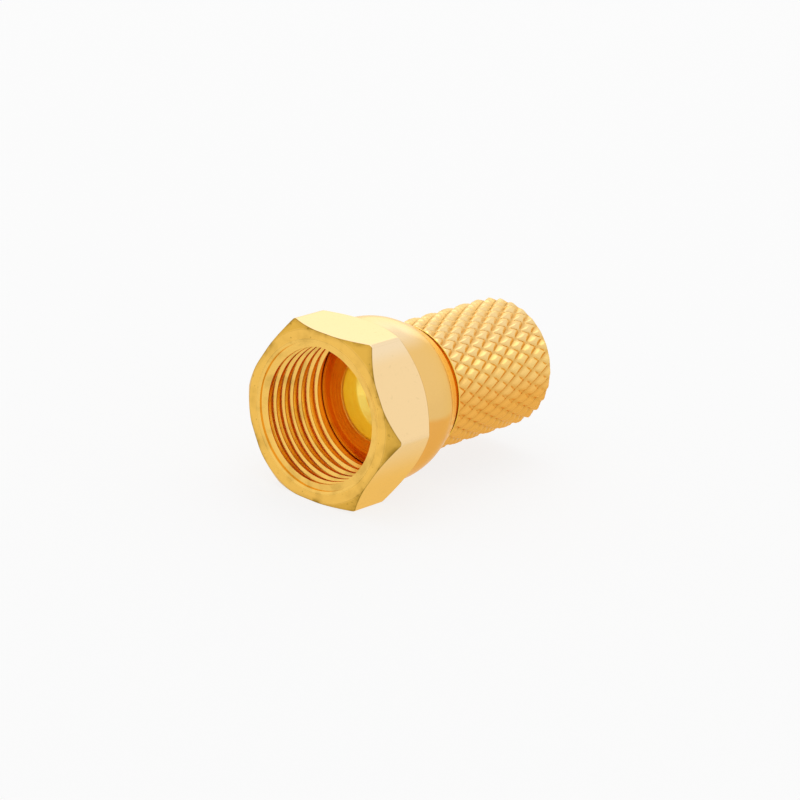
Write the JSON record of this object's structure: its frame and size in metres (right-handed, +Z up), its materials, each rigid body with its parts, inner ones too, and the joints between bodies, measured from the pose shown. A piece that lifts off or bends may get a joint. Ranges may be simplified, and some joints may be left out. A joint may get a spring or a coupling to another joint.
{
  "type": "f connector",
  "caption": "Twist-on coaxial F plug: a hexagonal threaded coupling nut turns on the neck of a knurled sleeve that screws onto the cable jacket.",
  "frame": {"origin": "on the surface that the plug lies on, under the middle of its length", "axes": "+Z up; +Y along the plug's axis from the mating face to the cable end; +X to the right"},
  "size_m": [0.0126, 0.0188, 0.011],
  "materials": {
    "nut_plating": "bright gold plate over turned brass, slightly mottled, with dark tarnish along the edges",
    "sleeve_plating": "bright gold plate over knurled brass"
  },
  "bodies": {
    "sleeve": {"knurled_sleeve": "sleeve_plating"},
    "nut": {"coupling_nut": "nut_plating"}
  },
  "joints": [
    {"name": "nut_spin", "type": "hinge", "parent": "sleeve", "child": "nut", "pos_m": [0, -0.00128, 0.0055], "axis": [0, 1, 0], "continuous": true}
  ]
}
